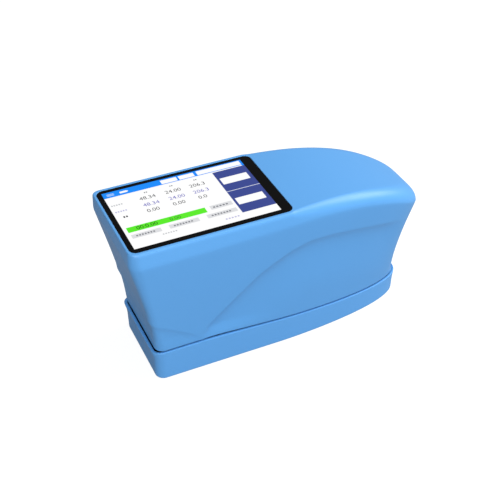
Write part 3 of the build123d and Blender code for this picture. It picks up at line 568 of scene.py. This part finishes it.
# Roughness, grain per metre and grain depth of the satin blue plastic
SATIN = (0.40, 2600.0, 0.000008)
blue_plastic = skinned("sky_blue_plastic", srgb(95, 166, 232), *SATIN, specular=0.4)
housing.data.materials.clear()
housing.data.materials.append(blue_plastic)
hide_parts("upper_housing")
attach(housing, "instrument")

# Calibration base: a shallow tray of the same blue plastic that the instrument stands in. Its wall is
# drafted for the mould, flares a little under the rim at both ends, and its rim is rounded. The
# floor has a pocket for the white tile's ring.

BASE_BOTTOM, BASE_RECESS, BASE_FLOOR, BASE_WALL = 0.15, 2.0, 4.0, 1.6
BASE_LEFT, BASE_TIP, BASE_HALF, BASE_CORNER, BASE_DRAFT = -71.1, 75.3, 24.1, 4.6, 0.02
BASE_STEPS = {"near": (8, 12, 50, 90), "far": (8, 12, 40, 70)}


def base_ring(z, inset=0.0):
    """Outline of the base's drafted wall at a height, or inside it by an inset.

    The housing's outline for the base's own sizes, each grown by the draft times the height.
    """
    grow = BASE_DRAFT * (z - BASE_BOTTOM) - inset
    ring = prow_ring(BASE_LEFT - grow, BASE_TIP + grow, BASE_HALF + grow, BASE_CORNER + grow, **BASE_STEPS)
    return np.column_stack([ring, np.full(len(ring), z)])


HALF_WAY = 10.0  # up the wall, where its plan normals are taken
base_out = outward(base_ring(HALF_WAY)[:, :2])
base_left, base_nose = np.clip(-base_out[:, 0], 0, 1) ** 2, np.clip(base_out[:, 0], 0, 1) ** 2
FLARE_LEFT, FLARE_NOSE, FLARE_REACH, HEAD = 1.1, 0.5, 3.8, 16.0
base_flare = FLARE_LEFT * base_left + FLARE_NOSE * base_nose


def base_wall_ring(share, inset=0.0, low=BASE_BOTTOM):
    """Ring on the base's wall between its foot and the rim, which follows the parting line.

    The plan leans in a straight line with height, plus a flare that falls as a bell curve below
    the rim.
    """
    foot_ring, head_ring = base_ring(low, inset), base_ring(HEAD, inset)
    rim_z = seam_level(head_ring[:, 0])
    z = low + (rim_z - low) * share
    lean = (z - low) / (HEAD - low)
    plan = foot_ring[:, :2] + (head_ring[:, :2] - foot_ring[:, :2]) * lean[:, None]
    flare = base_flare * np.exp(-(((rim_z - z) / FLARE_REACH) ** 2))
    return np.column_stack([plan + flare[:, None] * base_out, z])


def shifted(ring, inward, drop):
    """A ring moved inwards in plan and down."""
    return np.column_stack([ring[:, :2] - np.multiply(inward, base_out.T).T, ring[:, 2] - drop])


# From the floor up the inside of the wall, over the rim, down the outside and in under the foot
FLOOR_ROUND, RIM_ROUND, RIM_INNER_ROUND, FOOT_ROUND = 0.15, 0.35, 0.4, 0.5
base_rings = [base_ring(BASE_FLOOR, BASE_WALL + inset) for inset in (2, 0.6)]
base_rings.append(shifted(base_ring(BASE_FLOOR, BASE_WALL), FLOOR_ROUND, -FLOOR_ROUND))
base_rings += [base_wall_ring(share, BASE_WALL, BASE_FLOOR) for share in np.linspace(0.06, 0.95, 6)]
rim_out = base_wall_ring(1.0)
rim_wall = BASE_WALL - base_nose
for turn in np.linspace(-80, 90, 9):
    a = math.radians(turn)
    radius = RIM_ROUND if turn > 0 else RIM_INNER_ROUND
    middle = radius if turn > 0 else rim_wall - radius
    base_rings.append(shifted(rim_out, middle - radius * math.sin(a), radius * (1 - math.cos(a))))
base_rings += [base_wall_ring(share) for share in np.linspace(0.93, 0.06, 14)]
for turn in np.linspace(0, 90, 5):
    a = math.radians(turn)
    inward, lift = FOOT_ROUND * (1 - math.cos(a)), FOOT_ROUND * (1 - math.sin(a))
    base_rings.append(shifted(base_ring(BASE_BOTTOM), inward, -lift))

# Under the foot a flat border, then a drafted step up to the recess
BORDER_IN, STEP_IN, RECESS_IN = 3.4, 3.6, 6.4
base_rings += [base_ring(BASE_BOTTOM, BORDER_IN)]
base_rings += [base_ring(BASE_RECESS, inset) for inset in (STEP_IN, RECESS_IN)]


def disc(name, x, radius, low, high, steps=64):
    """A plain upright cylinder: a circle of points at each of two heights."""
    a = np.linspace(0, 2 * np.pi, steps, endpoint=False)
    plan = np.stack([x + radius * np.cos(a), radius * np.sin(a)], 1)
    rings = [np.column_stack([plan, np.full(steps, z)]) for z in (high, low)]
    return ring_piece(name, rings, closed=False)


TILE_X, TILE_RING_RADIUS, RING_GAP, POCKET = 30.0, 18.0, 0.1, (3.0, 5.0)
base = ring_piece("base_tray", base_rings, closed=False)
cut(base, disc("pocket_cutter", TILE_X, TILE_RING_RADIUS + RING_GAP, *POCKET))
base.data.materials.clear()
base.data.materials.append(skinned("base_blue_plastic", srgb(96, 166, 232), *SATIN, specular=0.4))
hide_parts("calibration_base")
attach(base, "base")

# Touch glass: a sheet of cover glass with a black printed border, flush in the housing. The lit
# screen shows through it: a title bar, three columns of plain numbers, a green bar, and grey keys
# with short blocks in place of words.

SCREEN = (-77.4, -4.0, -23.7, 24.0)
WHITE, BAR_BLUE, NAVY, GREEN = (255, 255, 255), (24, 140, 252), (60, 74, 146), (92, 236, 40)
KEY_GREY, INK, VIOLET, FAINT = (222, 223, 226), (52, 54, 60), (96, 92, 190), (196, 198, 202)
PALE_VIOLET, PALE_BLUE, TEXT_GREY = (190, 188, 224), (214, 236, 255), (128, 130, 136)

# Every field of the screen as left, right, low, high and its colour, painted in this order
fields = [
    (*SCREEN, WHITE),
    (-77.4, -4.0, 19.3, 24.0, BAR_BLUE),
    (-47.7, -39.3, 19.8, 23.0, WHITE),
    (-38.3, -30.3, 19.8, 23.0, WHITE),
    (-28.7, -5.2, 19.8, 23.3, WHITE),
    (-21.6, -4.0, -18.3, 18.6, NAVY),
    (-5.2, -4.0, 18.6, 24.0, BAR_BLUE),
    (-21.6, -4.0, 0.25, 0.65, (226, 230, 244)),
    (-20.3, -5.9, 6.8, 12.4, WHITE),
    (-20.3, -5.9, -11.7, -6.1, WHITE),
    (-75.7, -36.4, -11.1, -7.0, GREEN),
    (-75.4, -61.0, -16.0, -13.0, KEY_GREY),
    (-57.0, -42.2, -16.0, -13.0, KEY_GREY),
    (-38.0, -22.8, -16.0, -13.0, KEY_GREY),
    (-34.0, -22.8, -10.2, -7.0, KEY_GREY),
    (-75.4, -71.8, 20.7, 21.0, PALE_BLUE),
    (-75.4, -71.8, 21.4, 21.7, PALE_BLUE),
    (-75.4, -71.8, 22.1, 22.4, PALE_BLUE),
    (-68.9, -65.2, 20.8, 22.3, WHITE),
    (-65.2, -64.7, 21.2, 21.9, WHITE),
]


def dashes(left, right, low, high, count, tint):
    """A row of short blocks in place of a word, as fields: each fills 62 per cent of its step."""
    starts = np.linspace(left, right, count, endpoint=False)
    ends = starts + 0.62 * (right - left) / count
    return [(start, end, low, high, tint) for start, end in zip(starts, ends)]


fields += dashes(-76.3, -70.2, 11.7, 12.8, 5, FAINT) + dashes(-76.1, -69.9, 6.1, 7.2, 5, PALE_VIOLET)
fields += dashes(-73.8, -71.2, 1.0, 2.3, 2, INK) + dashes(-61.8, -54.3, -18.9, -18.0, 6, FAINT)
for left, right in ((-75.4, -61.0), (-57.0, -42.2), (-38.0, -22.8)):
    fields += dashes(left + 2.2, right - 2.6, -15.0, -14.0, 7, TEXT_GREY)
fields += dashes(-32.6, -24.4, -9.1, -8.1, 5, TEXT_GREY)
fields += dashes(-31.0, -23.4, -20.4, -19.4, 5, PALE_VIOLET)
for x in (-58.2, -45.1, -32.4):
    fields += dashes(x, x + 2.0, 16.2, 17.1, 2, TEXT_GREY)

# Every line of digits, with its middle, its height and its colour
DIGIT, DARK_GREEN, MID_GREEN = 2.7, (20, 60, 20), (60, 130, 50)
numbers = [
    ("48.34", -58.0, 12.2, DIGIT, INK), ("24.00", -44.9, 12.2, DIGIT, INK),
    ("206.3", -32.2, 12.2, DIGIT, INK),
    ("48.34", -58.1, 6.6, DIGIT, VIOLET), ("24.00", -45.0, 6.6, DIGIT, VIOLET),
    ("206.3", -32.4, 6.6, DIGIT, VIOLET),
    ("0.00", -58.9, 1.6, DIGIT, INK), ("0.00", -45.8, 1.6, DIGIT, INK), ("0.0", -33.6, 1.6, DIGIT, INK),
    ("00:0.00", -66.0, -9.1, 2.6, DARK_GREEN), ("0.00", -52.0, -9.1, 2.4, MID_GREEN),
]
FONT_SCALE = 1.38  # font size over the height of a digit


def number_shape(digits, x, y, height):
    """Points, outline edges and triangles of a line of digits, centred on a spot of the screen.

    The outline is made of the triangle sides that only one triangle uses.
    """
    curve = bpy.data.curves.new("digits", "FONT")
    curve.body, curve.size = digits, height * FONT_SCALE
    curve.align_x, curve.align_y = "CENTER", "CENTER"
    curve.resolution_u = 3
    maker = bpy.data.objects.new("digits", curve)
    bpy.context.scene.collection.objects.link(maker)
    bpy.context.view_layer.update()
    mesh = bpy.data.meshes.new_from_object(maker.evaluated_get(bpy.context.evaluated_depsgraph_get()))
    mesh.calc_loop_triangles()
    places, triangles = np.empty(len(mesh.vertices) * 3), np.empty(len(mesh.loop_triangles) * 3, np.int32)
    mesh.vertices.foreach_get("co", places)
    mesh.loop_triangles.foreach_get("vertices", triangles)
    triangles = triangles.reshape(-1, 3)
    sides = np.sort(np.concatenate([triangles[:, [0, 1]], triangles[:, [1, 2]], triangles[:, [2, 0]]]), 1)
    sides, uses = np.unique(sides, axis=0, return_counts=True)
    bpy.data.objects.remove(maker)
    bpy.data.meshes.remove(mesh)
    return places.reshape(-1, 3)[:, :2] + (x, y), sides[uses == 1], triangles


def rounded_box(left, right, low, high, radius, steps=8):
    """A rectangle with round corners, counter-clockwise: one quarter circle turned four ways."""
    a = np.linspace(0, np.pi / 2, steps)
    corner = radius * np.stack([np.cos(a), np.sin(a)], 1)
    spots = ((right - radius, high - radius), (left + radius, high - radius),
             (left + radius, low + radius), (right - radius, low + radius))
    turned = [corner, corner[:, ::-1] * (-1, 1), -corner, corner[:, ::-1] * (1, -1)]
    return np.concatenate([t + s for t, s in zip(turned, spots)])


# One flat sheet of triangles holds the border and every field. Its outline and the outlines of all
# fields and digits are drawn first, as points and the edges between them.
GLASS_EDGE = 0.15
full = rounded_box(GLASS_LEFT, GLASS_RIGHT, -GLASS_HALF, GLASS_HALF, GLASS_CORNER)
outline = rounded_box(GLASS_LEFT + GLASS_EDGE, GLASS_RIGHT - GLASS_EDGE, -GLASS_HALF + GLASS_EDGE,
                      GLASS_HALF - GLASS_EDGE, GLASS_CORNER - GLASS_EDGE)
around = len(outline)


def loop_edges(first, count):
    """Edges that join a run of points in turn and close it."""
    number = np.arange(count)
    return first + np.stack([number, (number + 1) % count], 1)


plan, edges, patches, tints = [outline], [loop_edges(0, around)], [], []
for left, right, low, high, tint in fields:
    corners = np.array([(left, low), (right, low), (right, high), (left, high)])
    edges.append(loop_edges(sum(map(len, plan)), 4))
    plan.append(corners)
    patches.append(corners[np.array([[0, 1, 2], [0, 2, 3]])])
    tints += [srgb(*tint)] * 2
for digits, x, y, height, tint in numbers:
    corners, sides, triangles = number_shape(digits, x, y, height)
    edges.append(sides + sum(map(len, plan)))
    plan.append(corners)
    patches.append(corners[triangles])
    tints += [srgb(*tint)] * len(triangles)
sheet = geometry.delaunay_2d_cdt(
    [Vector(spot) for spot in np.concatenate(plan).tolist()], np.concatenate(edges).tolist(), [], 0, 1e-5)
sheet_plan, triangles, sources = np.array(sheet[0]), np.array(sheet[2]), sheet[3]

# Each triangle takes the colour of the last patch that its middle lies in: the middle is inside when
# it is on the same side of all three of the patch's edges
middles = sheet_plan[triangles].mean(1)
face_tint = np.zeros((len(triangles), 3))
for corners, tint in zip(np.concatenate(patches), tints):
    along = np.roll(corners, -1, 0) - corners
    off = middles[:, None] - corners
    turn = along[:, 0] * off[..., 1] - along[:, 1] * off[..., 0]
    face_tint[(turn.min(1) > 0) | (turn.max(1) < 0)] = tint

# The sheet is the top of the glass; below it come the ground edge and the underside. The sheet's own
# number for each drawn point is in moved_to.
moved_to = np.empty(sum(map(len, plan)), int)
shared = [len(drawn) for drawn in sources]
moved_to[list(chain.from_iterable(sources))] = np.repeat(np.arange(len(sources)), shared)
levels = [np.column_stack([full, np.full(around, z)]) for z in (TOP - GLASS_EDGE, TOP - GLASS_THICK)]
spots = np.concatenate([np.column_stack([sheet_plan, np.full(len(sheet_plan), TOP)]), *levels])
upper = np.stack([moved_to[:around], len(sheet_plan) + np.arange(around)])
lower = np.stack([upper[1], upper[1] + around])
walls = np.stack([upper, lower, np.roll(lower, -1, 1), np.roll(upper, -1, 1)], -1)
mesh = bpy.data.meshes.new("touch_glass_sheet")
mesh.from_pydata((spots * MM).tolist(), [], [
    *triangles.tolist(), *walls.transpose(1, 0, 2).reshape(-1, 4).tolist(), lower[1, ::-1].tolist()])
colors = np.zeros((len(mesh.loops), 4), np.float32)
colors[:, 3] = 1
colors[:3 * len(triangles), :3] = np.repeat(face_tint, 3, 0)
shown = mesh.color_attributes.new("screen", "FLOAT_COLOR", "CORNER")
shown.data.foreach_set("color", colors.ravel())
glass = smooth_piece("touch_glass_sheet", mesh, 20)

BORDER = (7, 7, 8)
glass_material, glass_shader = new_material("printed_cover_glass", srgb(*BORDER), 0.12, specular=0.06)
tree = glass_material.node_tree
picture = tree.nodes.new("ShaderNodeAttribute")
picture.attribute_name = "screen"
tree.links.new(picture.outputs["Color"], glass_shader.inputs["Emission Color"])
glass_shader.inputs["Emission Strength"].default_value = 1.0
smudge = noise_node(tree, tree.nodes.new("ShaderNodeTexCoord").outputs["Object"], 60.0, 4.0, 0.6)
tree.links.new(spread(tree, smudge, 0.05, 0.22), glass_shader.inputs["Roughness"])
glass.data.materials.append(glass_material)
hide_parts("touch_glass")
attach(glass, "instrument")

# Keys: two dark plastic keys in the far wall, a long one that starts a measurement and a round power
# key. Each has a dished face, a flange behind the wall that keeps it in, and a stem on its switch.

STEM_RADIUS, STEM_END, STEM_ROOT = 1.5, -5.8, -3.3
FLANGE, FLANGE_BACK, FLANGE_FRONT = 1.2, -3.25, -2.25
FACE_OUT, DISH = 0.9, 0.25


def key_piece(name, x, half_length, radius, node):
    """A key from its face in to its stem's end: stadiums at levels out of the wall.

    Each is the key's outline offset inwards, and the stem's two are plain circles.
    """
    face = [  # how far inside the outline, and how far out of the wall's surface
        (radius * 0.8, FACE_OUT - DISH), (radius * 0.45, FACE_OUT - DISH * 0.7), (0.8, 0.88),
        (0.45, FACE_OUT), (0.2, 0.8), (0.05, 0.6), (0, 0.35),
        (0, FLANGE_FRONT), (-FLANGE, FLANGE_FRONT), (-FLANGE, FLANGE_BACK),
    ]
    shapes = [(stadium(half_length - inset, radius - inset), out) for inset, out in face]
    shapes += [(stadium(STEM_RADIUS, STEM_RADIUS), out) for out in (STEM_ROOT, STEM_END)]
    rings = [on_far_wall(x, shape[:, 0], shape[:, 1], out) for shape, out in shapes]
    key = ring_piece(name, rings, closed=False)
    key.data.materials.append(key_plastic)
    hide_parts(node)
    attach(key, node)


key_plastic = skinned("key_plastic", srgb(38, 41, 47), 0.5, 4200.0, 0.000006, specular=0.4)
key_piece("measure_key", MEASURE_X, *MEASURE_SIZE, "measure_button")
key_piece("power_key", POWER_X, *POWER_SIZE, "power_button")

# Dark mouldings: the bottom cover, the battery retainer, the switch bodies and the black bodies of the
# panel and the chips are plain mouldings with the housing's kind of grain, and keep their CAD shape.


def finish(material, *names):
    """Gives pieces that keep their CAD shape their material."""
    for name in names:
        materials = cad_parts[name].data.materials
        materials.clear()
        materials.append(material)


# A skinned material's numbers are its roughness, its grain per metre and depth, its drift and its wear
finish(skinned("cover_plastic", srgb(30, 32, 36), 0.55, 3000.0, 0.00001),
       "bottom_cover", "battery_retainer", "key_switches")
finish(skinned("chip_black", srgb(24, 25, 28), 0.45, 6000.0, 0.000006),
       "display_panel", "board_components", "sensor_chip")

# Battery, ribbons and lamps: two cells in a blue shrink sleeve, ribbon cables of amber film over
# copper, and small lamps under clear yellow caps.

finish(skinned("cell_sleeve", srgb(38, 104, 178), 0.25, 900.0, 0.00002), "battery_pack")
finish(skinned("amber_film", srgb(186, 124, 44), 0.2, 1500.0, 0.000004), "display_ribbon", "sensor_ribbon")
finish(skinned("lamp_cap", srgb(242, 228, 160), 0.2, 4000.0, 0.000002), "lamps")

# Integrating sphere and white tile: the sphere's halves are moulded and coated matt white inside to
# scatter the lamps' light; the reference tile is white ceramic under a clear glaze.

finish(skinned("diffuse_white", srgb(240, 239, 233), 0.85, 5200.0, 0.000012, 0.015, 0.0),
       "sphere_lower", "sphere_upper")
finish(skinned("glazed_tile", srgb(246, 246, 242), 0.08, 700.0, 0.000002, 0.01, 0.0), "white_tile")

# Feet and foams: soft rubber pads stuck under both halves, a foam frame that seals the screen and a
# foam disc that presses the tile up.

finish(skinned("soft_rubber", srgb(44, 45, 48), 0.8, 2200.0, 0.00002, 0.1), "body_feet", "base_feet")
finish(skinned("black_foam", srgb(46, 47, 50), 0.95, 1800.0, 0.00006, 0.1), "display_gasket", "tile_pad")

# Metal pieces: turned aluminium rings and the lens tube, anodised black, and steel screws with the
# charging port's drawn steel shell.

finish(skinned("black_anodised", srgb(26, 27, 30), 0.35, 5000.0, 0.000004, 0.05, 0.3, metallic=0.6),
       "aperture_ring", "tile_ring", "lens_tube")
finish(skinned("plain_steel", srgb(186, 189, 194), 0.32, 2600.0, 0.000003, 0.06, 0.1, metallic=1.0),
       "case_screws", "board_screws", "retainer_screws", "sphere_screws", "sensor_screws",
       "side_board_screws", "tile_ring_screws", "charging_port")

# Circuit boards: green glass-fibre boards with solder mask over copper traces, which show as a faint
# raised pattern of paler lines.

board_material, board_shader = new_material("solder_mask", srgb(24, 92, 48), 0.35)
tree = board_material.node_tree
traces = tree.nodes.new("ShaderNodeTexBrick")
traces.inputs["Scale"].default_value = 420.0
traces.inputs["Color1"].default_value = (*srgb(22, 88, 46), 1)
traces.inputs["Color2"].default_value = (*srgb(30, 104, 56), 1)
traces.inputs["Mortar"].default_value = (*srgb(52, 132, 74), 1)
tree.links.new(tree.nodes.new("ShaderNodeTexCoord").outputs["Object"], traces.inputs["Vector"])
tree.links.new(traces.outputs["Color"], board_shader.inputs["Base Color"])
raised = tree.nodes.new("ShaderNodeBump")
raised.inputs["Distance"].default_value = 0.00003
tree.links.new(traces.outputs["Fac"], raised.inputs["Height"])
tree.links.new(raised.outputs["Normal"], board_shader.inputs["Normal"])
finish(board_material, "main_board", "lamp_board", "sensor_board", "side_board")

# Collecting lens: a small polished plano-convex lens of clear glass, seated on a step in its tube,
# with a faint haze where it has been wiped.

lens_material, lens_shader = new_material("clear_lens", srgb(236, 242, 243), 0.03)
lens_shader.inputs["Transmission Weight"].default_value = 1.0
lens_shader.inputs["IOR"].default_value = 1.52
tree = lens_material.node_tree
haze = noise_node(tree, tree.nodes.new("ShaderNodeTexCoord").outputs["Object"], 500.0)
tree.links.new(spread(tree, haze, 0.02, 0.05), lens_shader.inputs["Roughness"])
finish(lens_material, "collecting_lens")

# Floor, light and camera: a plain pale table under two soft lamps. The table and the surroundings are
# white to the camera and through glass, and partly so in reflections; they send the object only a
# moderate light.

GLOSSY_SHARE, FLOOR_GLOW, AMBIENT = 0.15, 0.85, 0.27


def seen(tree):
    """1 for camera and transmitted rays, a small share for glossy ones, else 0."""
    path = tree.nodes.new("ShaderNodeLightPath")
    direct = math_node(tree, "MAXIMUM", path.outputs["Is Camera Ray"], path.outputs["Is Transmission Ray"])
    mirrored = math_node(tree, "MULTIPLY", path.outputs["Is Glossy Ray"], GLOSSY_SHARE)
    return math_node(tree, "MAXIMUM", direct, mirrored)


FLOOR_HALF = 6
corners = FLOOR_HALF * np.array([(-1, -1, 0), (1, -1, 0), (1, 1, 0), (-1, 1, 0)])
floor_mesh = bpy.data.meshes.new("floor")
floor_mesh.from_pydata(corners.tolist(), [], [(0, 1, 2, 3)])
floor = bpy.data.objects.new("floor", floor_mesh)
bpy.context.scene.collection.objects.link(floor)
floor_material, floor_shader = new_material("pale_table", (0.28, 0.28, 0.28), 0.9, specular=0.1)
tree = floor_material.node_tree
floor_shader.inputs["Emission Color"].default_value = (1, 1, 1, 1)
tree.links.new(math_node(tree, "MULTIPLY", seen(tree), FLOOR_GLOW), floor_shader.inputs["Emission Strength"])
floor_mesh.materials.append(floor_material)

world = bpy.data.worlds.new("studio")
bpy.context.scene.world = world
world.use_nodes = True
tree = world.node_tree
sky = tree.nodes["Background"]
sky.inputs["Color"].default_value = (1, 1, 1, 1)
tree.links.new(spread(tree, seen(tree), AMBIENT, 1.0), sky.inputs["Strength"])

LIT_SPOT = Vector((0.0, 0.0, 0.05))


def softbox(name, spot, size, power):
    """A square area lamp at a spot, turned to face the middle of the object."""
    lamp = bpy.data.lights.new(name, "AREA")
    lamp.shape, lamp.size, lamp.energy = "SQUARE", size, power
    holder = bpy.data.objects.new(name, lamp)
    holder.location = spot
    holder.rotation_euler = (LIT_SPOT - Vector(spot)).to_track_quat("-Z", "Y").to_euler()
    bpy.context.scene.collection.objects.link(holder)


softbox("overhead", (0.84, -0.13, 0.76), 0.72, 11.4)
softbox("front", (-0.33, -0.92, 0.54), 0.6, 8.2)

# The photograph's own place, lens and angles, from a fit to the outlines of the object
LOOK_FROM, LOOK_DOWN, LOOK_ROUND = (-0.17874, -0.36664, 0.36085), 37.9222, -24.7923
camera_data = bpy.data.cameras.new("camera")
camera_data.lens, camera_data.sensor_width = 72.0, 36.0
camera_data.clip_start = 0.01
camera = bpy.data.objects.new("camera", camera_data)
camera.location = LOOK_FROM
camera.rotation_euler = (math.radians(90 - LOOK_DOWN), 0, math.radians(LOOK_ROUND))
bpy.context.scene.collection.objects.link(camera)
bpy.context.scene.camera = camera
bpy.context.scene.view_settings.view_transform = "Standard"
